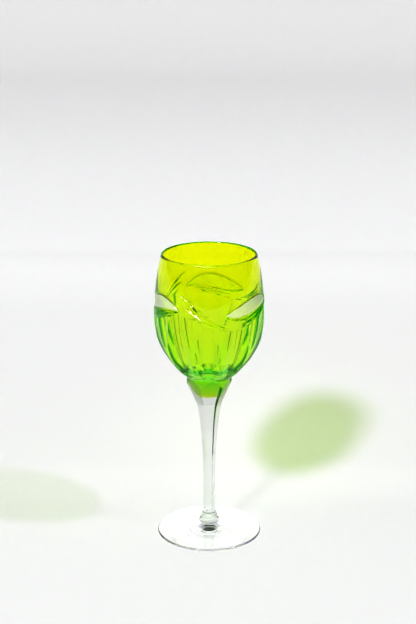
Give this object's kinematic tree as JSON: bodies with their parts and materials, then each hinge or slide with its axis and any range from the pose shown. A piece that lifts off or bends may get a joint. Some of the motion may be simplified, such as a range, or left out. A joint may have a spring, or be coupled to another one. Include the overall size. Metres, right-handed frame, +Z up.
{
  "type": "wine glass",
  "caption": "Stemmed wine glass with a cut green crystal bowl on a clear six-sided stem, collar and round foot.",
  "frame": {"origin": "centre of the circle that the foot stands on, on the table plane", "axes": "+Z up along the glass's axis, from the foot to the rim; +X to the right and -Y to the front, where a leafless stretch of the cut garland faces"},
  "size_m": [0.0742, 0.0743, 0.2],
  "materials": {
    "green_crystal": "polished, with matt wheel-cut leaves",
    "clear_crystal": "polished"
  },
  "bodies": {
    "root": {"bowl": "green_crystal", "stem": "clear_crystal", "stem_collar": "clear_crystal", "foot": "clear_crystal"}
  },
  "joints": []
}
